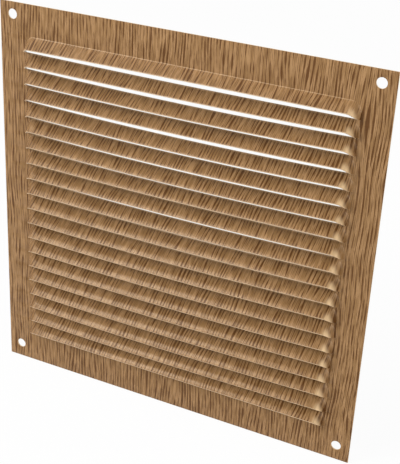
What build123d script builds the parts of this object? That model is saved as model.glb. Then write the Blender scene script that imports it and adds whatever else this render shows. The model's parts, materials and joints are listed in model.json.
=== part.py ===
from build123d import *
import os
from math import cos, radians, sin

# A louvred vent grille, cut and pressed from one square of thin sheet.
# Lengths are in millimetres and angles in degrees. X runs along the louvres and Z points up.
# The back of the sheet lies in the plane y = 0, flat on the wall, and the louvres stand out
# towards -Y. The origin is the centre of the four screw holes.

# The square of sheet
plate_width = 200.0
plate_height = 200.0
sheet_thickness = 0.6

# The screw holes in its corners, and how far their middle lies above the middle of the plate
hole_diameter = 5.0
hole_margin = 7.0
pattern_rise = 1.0

# The louvres: below each slit a narrow flat land, a crease, and a slat that slopes down and out.
# The trim is the length that the slat's outer face loses to the bend and to the cut.
louvre_count = 20
louvre_pitch = 8.35
slit_length = 172.0
slat_land = 0.3
slat_tilt = 59.0
lip_trim = 0.55
shoulder_radius = 5.0
mouth_drop = 0.3

# One louvre in section, measured from the upper edge of its land at the back of the sheet
tilt = radians(slat_tilt)
up_the_slat = Vector(0, sin(tilt), cos(tilt))
into_the_hood = Vector(0, cos(tilt), -sin(tilt))
slat_length = louvre_pitch - slat_land - lip_trim
crease = Vector(0, -sheet_thickness, -slat_land)
lip = crease - slat_length * up_the_slat
lip_back = lip + sheet_thickness * into_the_hood
before_the_lip = lip.Y - sheet_thickness
behind_the_sheet = sheet_thickness


def hood(inset):
    """Tunnel under a slat, from its lip up through the sheet, `inset` below the slat's outer face."""
    depth = louvre_pitch
    mouth = Pos(0, inset + depth / 2) * Rectangle(slit_length - 2 * inset, depth)
    shoulders = mouth.vertices().group_by(Axis.Y)[0]
    mouth = fillet(shoulders, shoulder_radius - inset)
    across_the_lip = Plane(lip, x_dir=(1, 0, 0), z_dir=up_the_slat)
    through_the_sheet = slat_length + (sheet_thickness + behind_the_sheet) / sin(tilt)
    return extrude(across_the_lip * mouth, through_the_sheet)


def bar(corners):
    """Bar longer than the slits, with the given corners in the Y-Z plane."""
    return extrude(Plane.YZ * make_face(Polyline(corners, close=True)), slit_length, both=True)


def louvre_skin():
    """Outside of one louvre, filled down to the line from its slit to just below its lip."""
    mouth_floor = lip_back.Z - mouth_drop
    return hood(0) & bar([
        (0, 0),
        (0, -louvre_pitch),
        (-sheet_thickness, -louvre_pitch),
        (lip_back.Y, mouth_floor),
        (before_the_lip, mouth_floor),
        (before_the_lip, 0),
    ])


def louvre_hollow():
    """What is open under one louvre, down to its slit and out through the back of the sheet."""
    return hood(sheet_thickness) & bar([
        (behind_the_sheet, 0),
        (behind_the_sheet, -louvre_pitch),
        (before_the_lip, -louvre_pitch),
        (before_the_lip, 0),
    ])


def blank():
    """The flat square with its screw holes."""
    across = plate_width - 2 * hole_margin
    up = plate_height - 2 * hole_margin
    outline = Pos(0, -pattern_rise) * Rectangle(plate_width, plate_height)
    outline -= GridLocations(across, up, 2, 2) * Circle(hole_diameter / 2)
    return extrude(Plane.XZ * outline, sheet_thickness)


def grille_plate():
    """The pressed grille as one solid, its louvres centred on the screw holes."""
    first_slit = louvre_count * louvre_pitch / 2
    rows = [Pos(0, 0, first_slit - row * louvre_pitch) for row in range(louvre_count)]
    skin = louvre_skin()
    hollow = louvre_hollow()
    pressed = blank().fuse(*[row * skin for row in rows])
    return pressed.cut(*[row * hollow for row in rows])


grille = grille_plate()
grille.label = "grille_plate"
os.makedirs("parts", exist_ok=True)
export_step(grille, "parts/grille_plate.step")
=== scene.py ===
import json
from math import asin, pi, radians, sin, tan
from random import Random

import bmesh
import bpy
from bpy.props import FloatProperty, FloatVectorProperty, IntProperty, PointerProperty
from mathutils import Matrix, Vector


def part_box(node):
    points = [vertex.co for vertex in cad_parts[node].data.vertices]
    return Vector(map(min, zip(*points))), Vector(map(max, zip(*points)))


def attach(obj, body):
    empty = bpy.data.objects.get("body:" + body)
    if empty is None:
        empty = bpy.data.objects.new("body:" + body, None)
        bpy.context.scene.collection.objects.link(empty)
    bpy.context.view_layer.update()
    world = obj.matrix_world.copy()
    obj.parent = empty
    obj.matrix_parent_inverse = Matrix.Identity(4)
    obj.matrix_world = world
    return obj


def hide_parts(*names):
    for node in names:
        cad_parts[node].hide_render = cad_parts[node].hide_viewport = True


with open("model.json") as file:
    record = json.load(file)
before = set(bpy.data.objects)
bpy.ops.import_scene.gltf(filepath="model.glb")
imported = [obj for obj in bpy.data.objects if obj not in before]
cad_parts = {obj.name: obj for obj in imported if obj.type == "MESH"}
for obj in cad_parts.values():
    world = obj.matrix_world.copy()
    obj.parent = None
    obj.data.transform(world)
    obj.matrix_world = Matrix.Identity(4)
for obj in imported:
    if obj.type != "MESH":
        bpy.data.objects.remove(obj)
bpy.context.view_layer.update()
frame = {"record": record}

# A louvred vent grille, pressed from one square of sheet with a printed wood grain.
# Lengths are in metres. X runs along the louvres and Z points up. The back of the sheet lies in
# the plane y = 0 and the louvres stand out towards -Y.

bl_info = {
    "name": "Louvred Vent Grille",
    "version": (1, 0, 0),
    "blender": (4, 5, 0),
    "location": "View3D > Sidebar > Grille",
    "description": "Presses a louvred vent grille from a printed sheet and sets it on a plain stage",
    "category": "Object",
}

CAD_NODE = "grille_plate"
PLATE_LOW, PLATE_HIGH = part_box(CAD_NODE)
MOUNTS = {mount["name"]: mount["dims"] for mount in frame["record"]["mounts"]}
SCREW_HOLES = MOUNTS["screw_holes"]
MILLIMETRE = 0.001

# Points nearer to each other than this are one point
SAME_PLACE = 1e-6


# Sizes, colours and lights that a user would change

def length(name, description, default):
    """A length in metres."""
    return FloatProperty(name=name, description=description, default=default, unit="LENGTH", precision=5)


def share(name, description, default):
    """A share from 0 to 1."""
    return FloatProperty(
        name=name, description=description, default=default, subtype="FACTOR", min=0, max=1)


def power(name, description, default):
    """A lamp's power in watts."""
    return FloatProperty(name=name, description=description, default=default, unit="POWER")


def colour(name, description, default):
    """A linear colour."""
    return FloatVectorProperty(
        name=name, description=description, default=default, subtype="COLOR", min=0, max=1)


def place(name, description, default):
    """A point in the part's own frame."""
    return FloatVectorProperty(
        name=name, description=description, default=default, subtype="TRANSLATION")


class SheetSizes(bpy.types.PropertyGroup):
    """The pressed sheet."""
    thickness: length("Sheet thickness", "Thickness of the sheet", 0.0006)
    louvre_count: IntProperty(name="Louvres", description="Number of louvres", default=20, min=1)
    louvre_pitch: length("Louvre pitch", "From one slit to the next", 0.00835)
    slit_length: length("Slit length", "Length of each slit", 0.172)
    slat_land: length("Land", "Flat strip between a slit and the crease below it", 0.0003)
    slat_length: length("Slat length", "From the crease to the lip, on the outer face", 0.0077)
    slat_tilt: FloatProperty(
        name="Slat tilt", description="How far a slat is turned out of the sheet",
        default=radians(59), subtype="ANGLE")
    bend_radius: length("Bend radius", "Radius inside the crease", 0.0004)
    shoulder_length: length("Shoulder", "Length over which a slat's end rises out of the sheet", 0.005)
    corner_cut: share("Corner cut", "Share of a slat's width that stays flat at its very ends", 0.6)
    left_relief: share("Left relief", "Share of the tilt that a slat loses towards its left end", 0.12)
    right_relief: share("Right relief", "Share of the tilt that a slat loses towards its right end", 0.03)
    relief_power: FloatProperty(
        name="Relief power", description="How late towards the ends that share is lost", default=4, min=1)
    field_sag: length("Sag", "How far the slats bow down at the middle of the grille", 0.0014)
    sag_power: FloatProperty(
        name="Sag power", description="How evenly the rows share the sag", default=8, min=1)
    slat_crown: length("Crown", "How far the lowest slats bulge between crease and lip", 0.0005)
    unevenness: length("Unevenness", "How far one slat bows more or less than the next", 0.0004)
    uneven_seed: IntProperty(name="Seed", description="Seed of the unevenness", default=794349, min=0)
    hole_diameter: length(
        "Hole diameter", "Diameter of the screw holes", 2 * SCREW_HOLES["hole_r_mm"] * MILLIMETRE)
    hole_spacing: length(
        "Hole spacing", "From hole to hole, both ways", SCREW_HOLES["spacing_x_mm"] * MILLIMETRE)
    edge_round: length("Edge rounding", "Width of the worn edge round every cut", 0.00024)


class GrainSizes(bpy.types.PropertyGroup):
    """The printed grain: upright lines of dark pores on mottled wood."""
    pore_spacing: length("Pore spacing", "From one line of pores to the next", 0.0017)
    pore_length: length("Pore length", "Length of the pores on a line", 0.014)
    fine_spacing: length("Fine spacing", "From one line of fine pores to the next", 0.0008)
    fine_length: length("Fine length", "Length of the fine pores on a line", 0.007)
    fine_shade: share("Fine shade", "How dark the fine pores are beside the others", 0.65)
    mottle_width: length("Mottle width", "Width of the paler and darker wood", 0.0013)
    mottle_length: length("Mottle length", "Length of the paler and darker wood", 0.010)
    stray_width: length("Stray width", "Width over which the lines stray together", 0.012)
    stray_length: length("Stray length", "Length over which the lines stray and come back", 0.030)
    stray: FloatProperty(name="Stray", description="How many lines' width the grain strays", default=2.5)


class PaintedGlintSizes(bpy.types.PropertyGroup):
    """Painted highlights, laid on as paler print: a line on the creases, and patches on the slats'
    right-hand ends.
    """
    end_start: length("End start", "From a slat's right end to where its wear begins", 0.006)
    end_full: length("End full", "From a slat's right end to where its wear is full", 0.002)
    rise_start: length("Rise start", "Height over the sheet at which that wear begins", 0.0022)
    rise_full: length("Rise full", "Height over the sheet at which that wear is full", 0.0056)
    crease_start: length("Crease start", "Height over the sheet at which a crease begins to wear", 0.00001)
    crease_full: length("Crease full", "Height over the sheet at which a crease is most worn", 0.00006)
    crease_fade: length("Crease fade", "Height over the sheet at which that wear begins to fade", 0.00016)
    crease_end: length("Crease end", "Height over the sheet at which that wear ends", 0.00035)
    # How strongly the painted highlight line shows along the creases
    crease_share: share("Crease share", "Share of the print that a crease has lost", 0.2)


class FinishColours(bpy.types.PropertyGroup):
    """The printed lacquer and the bare metal."""
    print_light: colour("Light wood", "Palest wood between the pores", (0.342, 0.194, 0.084))
    print_base: colour("Wood", "Darker wood between the pores", (0.258, 0.139, 0.053))
    print_streak: colour("Pores", "Dark pores of the wood", (0.092, 0.032, 0.003))
    # Painted highlight colour: paler print laid where light catches the creases and the slats' right-hand
    # ends
    painted_glint_colour: colour("Worn print", "Print where it is stretched thin", (0.78, 0.55, 0.31))
    lacquer_tint: colour("Lacquer tint", "Tint of the lacquer's gloss", (1.0, 0.87, 0.71))
    # Pale tan cut edges: partly the edge's own coated colour, partly a painted highlight along the lips
    cut_edge_and_painted_highlight: colour("Cut metal", "Bare metal at the cut edges", (0.78, 0.57, 0.36))
    back_metal: colour("Back", "Bare metal on the back of the sheet", (0.66, 0.64, 0.61))


class StageSettings(bpy.types.PropertyGroup):
    """Camera, lights and floor."""
    camera_place: place("Camera", "Where the camera stands", (0.21033, -0.42295, 0.22881))
    camera_turn: FloatVectorProperty(
        name="Camera turn", description="How the camera is turned", subtype="EULER",
        default=(radians(64.140), radians(-2.775), radians(26.382)))
    camera_lens: FloatProperty(name="Lens", description="Focal length in millimetres", default=83.412)
    floor_size: length("Floor size", "Side of the floor", 6)
    floor_colour: colour("Floor", "Colour of the floor", (0.85, 0.85, 0.85))
    floor_white: share("Floor white", "Share of plain white in what is seen of the floor", 0.95)
    sky_strength: FloatProperty(name="Sky", description="Strength of the even light", default=0.32)
    left_place: place("Left light", "Where the front left light hangs", (-1.7, -2.0, 1.5))
    left_power: power("Left power", "Power of the front left light", 63)
    right_place: place("Right light", "Where the front right light hangs", (2.0, -1.1, 1.0))
    right_power: power("Right power", "Power of the front right light", 24)
    front_size: length("Front size", "Side of the two front lights", 1.6)
    top_place: place("Top light", "Where the overhead light hangs", (-0.80, -0.55, 1.5))
    top_power: power("Top power", "Power of the overhead light", 9)
    top_size: length("Top size", "Side of the overhead light", 0.55)


# Helpers for modelling

X_WAY = Vector((1, 0, 0))
Z_WAY = Vector((0, 0, 1))
FACE_FRONT = (pi / 2, 0, 0)


def select_only(*objects):
    """Selects these objects and makes the first one active."""
    bpy.ops.object.select_all(action="DESELECT")
    for item in objects:
        item.select_set(True)
    bpy.context.view_layer.objects.active = objects[0]


def flat_piece(name, left, right, top, bottom, front):
    """Flat rectangle that faces the front, with its place in its mesh."""
    bpy.ops.object.select_all(action="DESELECT")
    middle = ((left + right) / 2, front, (top + bottom) / 2)
    bpy.ops.mesh.primitive_plane_add(size=1, location=middle, rotation=FACE_FRONT)
    piece = bpy.context.object
    piece.name = name
    piece.scale = (right - left, top - bottom, 1)
    bpy.ops.object.transform_apply(location=True, rotation=True, scale=True)
    return piece


def score_lines(piece, direction, places):
    """Divides a flat piece along lines across a direction."""
    select_only(piece)
    bpy.ops.object.mode_set(mode="EDIT")
    for distance in places:
        bpy.ops.mesh.select_all(action="SELECT")
        bpy.ops.mesh.bisect(plane_co=direction * distance, plane_no=direction, threshold=SAME_PLACE)
    bpy.ops.object.mode_set(mode="OBJECT")


def pick(piece, chosen):
    """Selects the vertices with these numbers, in edit mode, and returns all the piece's vertices."""
    mesh = bmesh.from_edit_mesh(piece.data)
    mesh.verts.ensure_lookup_table()
    for vertex in mesh.verts:
        vertex.select_set(False)
    for number in chosen:
        mesh.verts[number].select_set(True)
    mesh.select_flush_mode()
    bmesh.update_edit_mesh(piece.data)
    return mesh.verts


def apply_modifier(piece, kind, **settings):
    """Adds a modifier with these settings and applies it."""
    select_only(piece)
    modifier = piece.modifiers.new(kind.title(), kind)
    for setting, value in settings.items():
        setattr(modifier, setting, value)
    bpy.ops.object.modifier_apply(modifier=modifier.name)


# The pressed sheet

# How finely a louvre is scored
BEND_FOLDS = 5
SLAT_ROWS = 7
SHOULDER_COLUMNS = 9
MIDDLE_COLUMNS = 18

# How round a slat's shoulders are: they are squarer nearer to 0
SHOULDER_POWER = 0.7

# The sides of a drilled hole, and the length of the drills in thicknesses of the sheet
HOLE_SIDES = 64
DRILL_LENGTH = 8

# Edges that turn by more than the cut angle are rounded, in a few steps
CUT_ANGLE = radians(60)
EDGE_STEPS = 3

# Edges that turn by less than this are shaded smooth
SMOOTH_ANGLE = radians(35)


def shoulder_rise(sizes, across):
    """How far a slat has risen at a place along it: 0 at its ends, 1 all the way between its shoulders."""
    from_end = (sizes.slit_length / 2 - abs(across)) / sizes.shoulder_length
    to_full = 1 - min(max(from_end, 0), 1)
    return (1 - to_full ** 2) ** SHOULDER_POWER


def slat_columns(sizes):
    """Lines across a slat: close together at its shoulders, wide apart between them."""
    end = sizes.slit_length / 2
    inner = end - sizes.shoulder_length
    middle = [-inner + 2 * inner * step / MIDDLE_COLUMNS for step in range(MIDDLE_COLUMNS + 1)]
    steps = range(1, SHOULDER_COLUMNS + 1)
    shoulder = [inner + sizes.shoulder_length * step / SHOULDER_COLUMNS for step in steps]
    return sorted([-line for line in shoulder] + middle + shoulder)


def fold_out(tile, sizes, across, trim):
    """Trims one column of a scored louvre, draws its crease down near the slat's ends, and folds it out."""
    rise = shoulder_rise(sizes, across)
    if rise == 0:
        return
    flap = 1 - sizes.corner_cut * (1 - rise)
    end_relief = sizes.left_relief if across < 0 else sizes.right_relief
    relief = 1 - end_relief * abs(2 * across / sizes.slit_length) ** sizes.relief_power
    slope = asin(sin(sizes.slat_tilt) * rise / flap) * relief
    column = [v.index for v in tile.data.vertices if abs(v.co.x - across) < SAME_PLACE]
    column.sort(key=lambda number: -tile.data.vertices[number].co.z)
    pick(tile, column[-1:])
    bpy.ops.transform.translate(value=(0, 0, rise * trim))
    vertices = pick(tile, column[1:-1])
    bpy.ops.transform.resize(value=(1, 1, flap), center_override=vertices[column[-1]].co.copy())
    for fold in range(1, BEND_FOLDS + 1):
        vertices = pick(tile, column[fold + 1:])
        hinge = vertices[column[fold]].co.copy()
        bpy.ops.transform.rotate(value=slope / BEND_FOLDS, orient_axis="X", center_override=hinge)


def louvre(sizes, columns, front, top):
    """One louvre with the border beside it: scored while flat, then folded out column by column."""
    tile = flat_piece("louvre", PLATE_LOW.x, PLATE_HIGH.x, top, top - sizes.louvre_pitch, front)
    cut_back = sizes.bend_radius * tan(sizes.slat_tilt / 2)
    bend_start = sizes.slat_land - cut_back
    bend_length = sizes.bend_radius * sizes.slat_tilt
    bend_end = bend_start + bend_length
    lip = bend_end + sizes.slat_length - cut_back
    folds = [bend_start + bend_length * (step + 0.5) / BEND_FOLDS for step in range(BEND_FOLDS)]
    rows = folds + [bend_end + (lip - bend_end) * step / SLAT_ROWS for step in range(1, SLAT_ROWS)]
    score_lines(tile, X_WAY, columns)
    score_lines(tile, Z_WAY, [top - row for row in rows])
    bpy.ops.object.mode_set(mode="EDIT")
    bpy.ops.mesh.select_mode(type="VERT")
    for across in columns:
        fold_out(tile, sizes, across, sizes.louvre_pitch - lip)
    bpy.ops.object.mode_set(mode="OBJECT")
    return tile


def pressed_field(sizes):
    """All the louvres, with the borders above and below, joined into one sheet without thickness."""
    front = -sizes.thickness
    first_slit = sizes.louvre_count * sizes.louvre_pitch / 2
    columns = slat_columns(sizes)
    sheet = louvre(sizes, columns, front, first_slit)
    apply_modifier(
        sheet, "ARRAY", count=sizes.louvre_count, use_relative_offset=False,
        use_constant_offset=True, constant_offset_displace=(0, 0, -sizes.louvre_pitch),
        use_merge_vertices=True, merge_threshold=SAME_PLACE)
    borders = [
        flat_piece("upper_border", PLATE_LOW.x, PLATE_HIGH.x, PLATE_HIGH.z, first_slit, front),
        flat_piece("lower_border", PLATE_LOW.x, PLATE_HIGH.x, -first_slit, PLATE_LOW.z, front),
    ]
    for border in borders:
        score_lines(border, X_WAY, columns)
    select_only(sheet, *borders)
    bpy.ops.object.join()
    bpy.ops.object.mode_set(mode="EDIT")
    bpy.ops.mesh.select_all(action="SELECT")
    bpy.ops.mesh.remove_doubles(threshold=SAME_PLACE)
    bpy.ops.object.mode_set(mode="OBJECT")
    return sheet


def lift(sheet, distance, shares):
    """Moves each vertex up by its share of a distance."""
    group = sheet.vertex_groups.new(name="lifted")
    for number, part in shares.items():
        group.add([number], part, "REPLACE")
    apply_modifier(sheet, "DISPLACE", direction="Z", mid_level=0, strength=distance, vertex_group=group.name)
    sheet.vertex_groups.clear()


def bow_and_crown(sheet, sizes):
    """Bows the slats down at the middle, some a little more than the next, and crowns the lower ones."""
    half_width = sizes.slit_length / 2
    half_height = sizes.louvre_count * sizes.louvre_pitch / 2
    slat_depth = sizes.slat_length * sin(sizes.slat_tilt)
    most = sizes.field_sag + sizes.unevenness
    chance = Random(sizes.uneven_seed)
    uneven = [chance.uniform(-1, 1) for row in range(sizes.louvre_count)]
    # The border above holds the uppermost slat nearly straight
    uneven[0] = -1
    bows = {}
    crowns = {}
    for vertex in sheet.data.vertices:
        x, y, z = vertex.co
        across = 1 - (x / half_width) ** 2
        up = 1 - abs(z / half_height) ** sizes.sag_power
        if across <= 0 or up <= 0:
            continue
        row = int((half_height - z + SAME_PLACE) / sizes.louvre_pitch)
        bow = sizes.field_sag * up + sizes.unevenness * uneven[row]
        bows[vertex.index] = max(across * bow / most, 0)
        out = min(max((-y - sizes.thickness) / slat_depth, 0), 1)
        bulge = 4 * out * (1 - out)
        crowns[vertex.index] = across * bulge * (1 - z / half_height) / 2
    lift(sheet, -most, bows)
    lift(sheet, sizes.slat_crown, crowns)


def drill_holes(sheet, sizes, cut_edge_and_painted_highlight):
    """Drills the four screw holes."""
    away = sizes.hole_spacing / 2
    drills = []
    for across in (-away, away):
        for up in (-away, away):
            bpy.ops.object.select_all(action="DESELECT")
            bpy.ops.mesh.primitive_cylinder_add(
                vertices=HOLE_SIDES, radius=sizes.hole_diameter / 2, depth=DRILL_LENGTH * sizes.thickness,
                location=(across, -sizes.thickness / 2, up), rotation=FACE_FRONT)
            drills.append(bpy.context.object)
    select_only(*drills)
    bpy.ops.object.join()
    drill = bpy.context.object
    drill.data.materials.append(cut_edge_and_painted_highlight)
    bpy.ops.object.transform_apply(location=True, rotation=True, scale=True)
    apply_modifier(
        sheet, "BOOLEAN", object=drill, operation="DIFFERENCE", solver="EXACT", material_mode="TRANSFER")
    select_only(drill)
    bpy.ops.object.delete()


# Finishes

# Pores: where in the noise each line lies, how fast a pore thins away from its line, and the noise
# values between which it darkens
LINE_STEP = 7.31
FINE_START = 40
PORE_DETAIL = 3
PORE_TAPER = 0.85
PORE_EDGE = 0.345
PORE_HEART = 0.46

# Noise values between which the wood turns from pale to dark
MOTTLE_LOW = 0.35
MOTTLE_HIGH = 0.65

# Painted highlight on the slats' right-hand ends: the most, and how much less of it there is on dark wood
PAINTED_GLINT_MOST = 1.1
PAINTED_GLINT_SPREAD = 0.2

# Gloss of the lacquer, and how the pores roughen and dent it
LACQUER_ROUGHNESS = 0.27
LACQUER_SPECULAR = 0.4
PORE_ROUGHNESS = 0.10
PORE_DENT = 0.1
PORE_DEPTH = 0.0001

# Lines that rolling leaves in bare sheet
ROLL_WIDTH = 0.0003
ROLL_ROUGHNESS = 0.15
ROLL_LINES_PER_METRE = 3000
ROLL_BREAKS_PER_METRE = 60
ROLL_DETAIL = 2
ROLL_DARKENING = 0.2
ROLL_LOW = 0.3
ROLL_HIGH = 0.7

BLACK = (0, 0, 0, 1)
WHITE = (1, 1, 1, 1)


class Nodes:
    """Adds and joins the nodes of one material, world or group."""

    def __init__(self, tree):
        self.tree = tree
        tree.nodes.clear()

    def add(self, kind, inputs=None, **settings):
        """Adds a node; an input is a value, or the socket of another node."""
        node = self.tree.nodes.new(kind)
        for setting, value in settings.items():
            setattr(node, setting, value)
        for socket, value in (inputs or {}).items():
            if isinstance(value, bpy.types.NodeSocket):
                self.tree.links.new(value, node.inputs[socket])
            else:
                node.inputs[socket].default_value = value
        return node

    def maths(self, operation, *values):
        """Result of a Math node."""
        return self.add("ShaderNodeMath", dict(enumerate(values)), operation=operation).outputs[0]

    def point(self, x, y):
        """A vector in the X-Y plane."""
        return self.add("ShaderNodeCombineXYZ", {0: x, 1: y}).outputs[0]

    def stretch(self, vector, scale):
        """A vector scaled along its axes."""
        return self.add("ShaderNodeMapping", {"Vector": vector, "Scale": scale}).outputs[0]

    def noise(self, vector, detail):
        """Value of a Noise Texture, from 0 to 1."""
        return self.add("ShaderNodeTexNoise", {"Vector": vector, "Scale": 1, "Detail": detail}).outputs[0]

    def streaks(self, vector, width, height):
        """Plain noise in patches of this width and height."""
        return self.noise(self.stretch(vector, (1 / width, 1 / height, 1)), 0)

    def between(self, value, low, high):
        """Smooth step of a value from 0 at low to 1 at high."""
        inputs = {"Value": value, "From Min": low, "From Max": high}
        return self.add("ShaderNodeMapRange", inputs, interpolation_type="SMOOTHSTEP").outputs[0]

    def mix(self, second_share, first, second):
        """Two colours mixed; a Mix node has them in sockets 6 and 7, and the result in output 2."""
        inputs = {0: second_share, 6: first, 7: second}
        return self.add("ShaderNodeMix", inputs, data_type="RGBA").outputs[2]


def opaque(shade):
    """A colour property as a colour with alpha."""
    return (*shade, 1)


def new_material(name):
    """An empty material and its nodes."""
    material = bpy.data.materials.new(name)
    material.use_nodes = True
    return material, Nodes(material.node_tree)


def pore_lines(nodes, lines, along, pore_length, first):
    """Pores of the wood: upright lines, each with its own tapering dashes."""
    own_line = nodes.maths("MULTIPLY_ADD", nodes.maths("FLOOR", lines), LINE_STEP, first)
    from_line = nodes.maths("ABSOLUTE", nodes.maths("SUBTRACT", nodes.maths("FRACT", lines), 0.5))
    own_place = nodes.point(own_line, nodes.maths("DIVIDE", along, pore_length))
    dash = nodes.noise(own_place, PORE_DETAIL)
    tapered = nodes.maths("MULTIPLY_ADD", from_line, -PORE_TAPER, dash)
    return nodes.between(tapered, PORE_EDGE, PORE_HEART)


def wood_grain(nodes, across, along, grain):
    """Masks of the dark pores, and of the darker wood between them."""
    sheet_place = nodes.point(across, along)
    stray = nodes.streaks(sheet_place, grain.stray_width, grain.stray_length)
    stray = nodes.maths("MULTIPLY", stray, grain.stray)
    lines = nodes.maths("MULTIPLY_ADD", across, 1 / grain.pore_spacing, stray)
    fine_lines = nodes.maths("MULTIPLY_ADD", across, 1 / grain.fine_spacing, stray)
    pores = pore_lines(nodes, lines, along, grain.pore_length, 0)
    fine_pores = pore_lines(nodes, fine_lines, along, grain.fine_length, FINE_START)
    dark = nodes.maths("MAXIMUM", pores, nodes.maths("MULTIPLY", fine_pores, grain.fine_shade))
    mottle = nodes.streaks(sheet_place, grain.mottle_width, grain.mottle_length)
    return dark, nodes.between(mottle, MOTTLE_LOW, MOTTLE_HIGH)


def painted_glints(nodes, across, out_of_sheet, mottle, slat_end, glint):
    """Mask of the painted highlights: a pale line along the creases, and pale patches on the slats'
    right-hand ends.
    """
    near_end = nodes.between(across, slat_end - glint.end_start, slat_end - glint.end_full)
    raised = nodes.between(out_of_sheet, glint.rise_start, glint.rise_full)
    patchy = nodes.maths("MULTIPLY_ADD", mottle, -PAINTED_GLINT_SPREAD, PAINTED_GLINT_MOST)
    end = nodes.maths("MULTIPLY", nodes.maths("MULTIPLY", near_end, raised), patchy)
    over_start = nodes.between(out_of_sheet, glint.crease_start, glint.crease_full)
    over_end = nodes.between(out_of_sheet, glint.crease_fade, glint.crease_end)
    crease = nodes.maths("SUBTRACT", over_start, over_end)
    away_from_end = nodes.maths("MULTIPLY_ADD", near_end, -glint.crease_share, glint.crease_share)
    return nodes.maths("MAXIMUM", nodes.maths("MULTIPLY", crease, away_from_end), end)


def printed_wood(sizes, grain, glint, colours):
    """Satin lacquer printed with upright wood grain, which follows the sheet over the slats."""
    material, nodes = new_material("printed_wood")
    object_place = nodes.add("ShaderNodeTexCoord").outputs["Object"]
    across, depth, up = nodes.add("ShaderNodeSeparateXYZ", {0: object_place}).outputs
    out_of_sheet = nodes.maths("SUBTRACT", -sizes.thickness, depth)
    # A fold takes up its height times the tangent of half the tilt, so this measures the flat sheet
    unrolled = nodes.maths("MULTIPLY_ADD", out_of_sheet, -tan(sizes.slat_tilt / 2), up)

    dark, mottle = wood_grain(nodes, across, unrolled, grain)
    # Painted highlights: paler print along the creases and on the slats' right-hand ends, mixed into the
    # wood below
    painted_glint_mask = painted_glints(nodes, across, out_of_sheet, mottle, sizes.slit_length / 2, glint)
    wood = nodes.mix(mottle, opaque(colours.print_light), opaque(colours.print_base))
    wood = nodes.mix(dark, wood, opaque(colours.print_streak))
    wood = nodes.mix(painted_glint_mask, wood, opaque(colours.painted_glint_colour))

    rough = nodes.maths("MULTIPLY_ADD", dark, PORE_ROUGHNESS, LACQUER_ROUGHNESS)
    dents = {"Strength": PORE_DENT, "Distance": PORE_DEPTH, "Height": dark}
    bump = nodes.add("ShaderNodeBump", dents, invert=True)
    shader = nodes.add("ShaderNodeBsdfPrincipled", {
        "Base Color": wood,
        "Roughness": rough,
        "Specular IOR Level": LACQUER_SPECULAR,
        "Specular Tint": opaque(colours.lacquer_tint),
        "Normal": bump.outputs[0],
    })
    nodes.add("ShaderNodeOutputMaterial", {0: shader.outputs[0]})
    return material


def rolled_metal():
    """Node group: a shade and a roughness varied by the fine lines of rolled sheet."""
    group = bpy.data.node_groups.new("rolled_metal", "ShaderNodeTree")
    nodes = Nodes(group)
    for way in ("INPUT", "OUTPUT"):
        group.interface.new_socket("Shade", in_out=way, socket_type="NodeSocketColor")
        group.interface.new_socket("Roughness", in_out=way, socket_type="NodeSocketFloat")
    given = nodes.add("NodeGroupInput").outputs
    object_place = nodes.add("ShaderNodeTexCoord").outputs["Object"]
    lines = nodes.streaks(object_place, ROLL_WIDTH, ROLL_WIDTH)
    rough = nodes.maths("MULTIPLY_ADD", lines, ROLL_ROUGHNESS, given["Roughness"])
    line_scale = (ROLL_LINES_PER_METRE, ROLL_LINES_PER_METRE, ROLL_BREAKS_PER_METRE)
    drawn = nodes.noise(nodes.stretch(object_place, line_scale), ROLL_DETAIL)
    darker = nodes.mix(ROLL_DARKENING, given["Shade"], BLACK)
    shade = nodes.mix(nodes.between(drawn, ROLL_LOW, ROLL_HIGH), darker, given["Shade"])
    nodes.add("NodeGroupOutput", {"Shade": shade, "Roughness": rough})
    return group


def bare_metal(name, lines, shade, roughness, metallic):
    """Sheet aluminium with fine rolling lines."""
    material, nodes = new_material(name)
    rolled = nodes.add(
        "ShaderNodeGroup", {"Shade": opaque(shade), "Roughness": roughness}, node_tree=lines)
    shader = nodes.add("ShaderNodeBsdfPrincipled", {
        "Base Color": rolled.outputs["Shade"],
        "Roughness": rolled.outputs["Roughness"],
        "Metallic": metallic,
    })
    nodes.add("ShaderNodeOutputMaterial", {0: shader.outputs[0]})
    return material


class GRILLE_OT_press_sheet(bpy.types.Operator):
    """Press the grille from one printed sheet"""
    bl_idname = "grille.press_sheet"
    bl_label = "Press Sheet"

    def execute(self, context):
        scene = context.scene
        sizes = scene.grille_sizes
        colours = scene.grille_colours
        sheet = pressed_field(sizes)
        bow_and_crown(sheet, sizes)

        lines = rolled_metal()
        wood = printed_wood(sizes, scene.grille_grain, scene.grille_wear, colours)
        back_metal = bare_metal("back_metal", lines, colours.back_metal, roughness=0.4, metallic=0.9)
        # The cut edges carry a pale colour that partly paints in the highlight along the lips
        cut_edge_and_painted_highlight = bare_metal("cut_edge_and_painted_highlight", lines, colours.cut_edge_and_painted_highlight, roughness=0.5, metallic=0.2)
        finishes = [wood, back_metal, cut_edge_and_painted_highlight]
        for finish in finishes:
            sheet.data.materials.append(finish)
        apply_modifier(
            sheet, "SOLIDIFY", thickness=sizes.thickness, offset=-1, use_even_offset=True,
            material_offset=finishes.index(back_metal), material_offset_rim=finishes.index(cut_edge_and_painted_highlight))
        drill_holes(sheet, sizes, cut_edge_and_painted_highlight)
        apply_modifier(
            sheet, "BEVEL", width=sizes.edge_round, segments=EDGE_STEPS, limit_method="ANGLE",
            angle_limit=CUT_ANGLE)
        select_only(sheet)
        bpy.ops.object.shade_smooth_by_angle(angle=SMOOTH_ANGLE)
        sheet.name = "pressed_sheet"
        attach(sheet, "root")
        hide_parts(CAD_NODE)
        return {"FINISHED"}


# The stage

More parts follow.
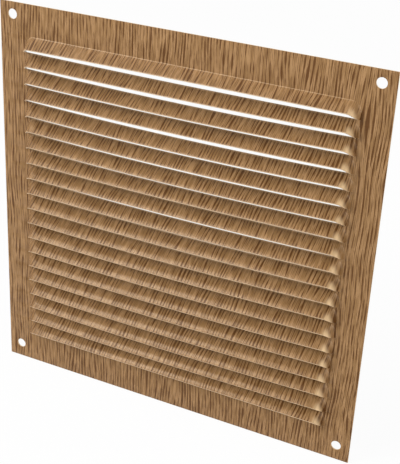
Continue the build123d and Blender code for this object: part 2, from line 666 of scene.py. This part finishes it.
def soft_box(name, where, watts, side):
    """Square light that faces the middle of the grille."""
    lamp = bpy.data.lights.new(name, "AREA")
    lamp.energy = watts
    lamp.size = side
    light = bpy.data.objects.new(name, lamp)
    light.location = where
    light.rotation_euler = (-Vector(where)).to_track_quat("-Z", "Y").to_euler()
    bpy.context.scene.collection.objects.link(light)


def seen_rays(nodes):
    """1 for rays that show a surface to the eye or in a reflection, 0 for rays that carry its light."""
    path = nodes.add("ShaderNodeLightPath").outputs
    seen = nodes.maths("MAXIMUM", path["Is Camera Ray"], path["Is Glossy Ray"])
    return nodes.maths("MAXIMUM", seen, path["Is Transmission Ray"])


def white_sky(stage):
    """World that looks white and gives a weak even light."""
    world = bpy.data.worlds.new("white_sky")
    world.use_nodes = True
    nodes = Nodes(world.node_tree)
    strength = nodes.maths("MULTIPLY_ADD", seen_rays(nodes), 1 - stage.sky_strength, stage.sky_strength)
    sky = nodes.add("ShaderNodeBackground", {"Color": WHITE, "Strength": strength})
    nodes.add("ShaderNodeOutputWorld", {0: sky.outputs[0]})
    return world


def pale_floor(stage):
    """Floor at the foot of the grille: nearly white where it is seen, and shaded enough to show a shadow."""
    bpy.ops.object.select_all(action="DESELECT")
    bpy.ops.mesh.primitive_plane_add(size=stage.floor_size, location=(0, 0, PLATE_LOW.z))
    floor = bpy.context.object
    floor.name = "floor"
    material, nodes = new_material("pale_floor")
    white_share = nodes.maths("MULTIPLY", seen_rays(nodes), stage.floor_white)
    shading = nodes.add("ShaderNodeBsdfDiffuse", {"Color": opaque(stage.floor_colour)})
    white = nodes.add("ShaderNodeEmission", {"Color": WHITE, "Strength": 1})
    mixed = nodes.add("ShaderNodeMixShader", {0: white_share, 1: shading.outputs[0], 2: white.outputs[0]})
    nodes.add("ShaderNodeOutputMaterial", {0: mixed.outputs[0]})
    floor.data.materials.append(material)


class GRILLE_OT_set_stage(bpy.types.Operator):
    """Set the floor, the lights and the camera"""
    bl_idname = "grille.set_stage"
    bl_label = "Set Stage"

    def execute(self, context):
        scene = context.scene
        stage = scene.grille_stage
        scene.view_settings.view_transform = "Standard"
        pale_floor(stage)
        scene.world = white_sky(stage)
        soft_box("left_light", stage.left_place, stage.left_power, stage.front_size)
        soft_box("right_light", stage.right_place, stage.right_power, stage.front_size)
        soft_box("top_light", stage.top_place, stage.top_power, stage.top_size)
        lens = bpy.data.cameras.new("camera")
        lens.lens = stage.camera_lens
        camera = bpy.data.objects.new("camera", lens)
        camera.location = stage.camera_place
        camera.rotation_euler = stage.camera_turn
        scene.collection.objects.link(camera)
        scene.camera = camera
        return {"FINISHED"}


# The panel, and running it all

SCENE_SETTINGS = {
    "grille_sizes": SheetSizes,
    "grille_grain": GrainSizes,
    "grille_wear": PaintedGlintSizes,
    "grille_colours": FinishColours,
    "grille_stage": StageSettings,
}


class GRILLE_PT_panel(bpy.types.Panel):
    """Sizes, colours and steps of the grille"""
    bl_idname = "GRILLE_PT_panel"
    bl_label = "Louvred Vent Grille"
    bl_space_type = "VIEW_3D"
    bl_region_type = "UI"
    bl_category = "Grille"

    def draw(self, context):
        for name, settings in SCENE_SETTINGS.items():
            box = self.layout.box()
            for setting in settings.__annotations__:
                box.prop(getattr(context.scene, name), setting)
        self.layout.operator(GRILLE_OT_press_sheet.bl_idname)
        self.layout.operator(GRILLE_OT_set_stage.bl_idname)


CLASSES = (*SCENE_SETTINGS.values(), GRILLE_OT_press_sheet, GRILLE_OT_set_stage, GRILLE_PT_panel)


def register():
    """Registers the classes and gives the scene its settings."""
    for item in CLASSES:
        bpy.utils.register_class(item)
    for name, settings in SCENE_SETTINGS.items():
        setattr(bpy.types.Scene, name, PointerProperty(type=settings))


def unregister():
    """Takes the settings and the classes away again."""
    for name in SCENE_SETTINGS:
        delattr(bpy.types.Scene, name)
    for item in reversed(CLASSES):
        bpy.utils.unregister_class(item)


def main():
    """Makes the grille and its stage."""
    register()
    bpy.ops.grille.press_sheet()
    bpy.ops.grille.set_stage()


if __name__ == "__main__":
    main()
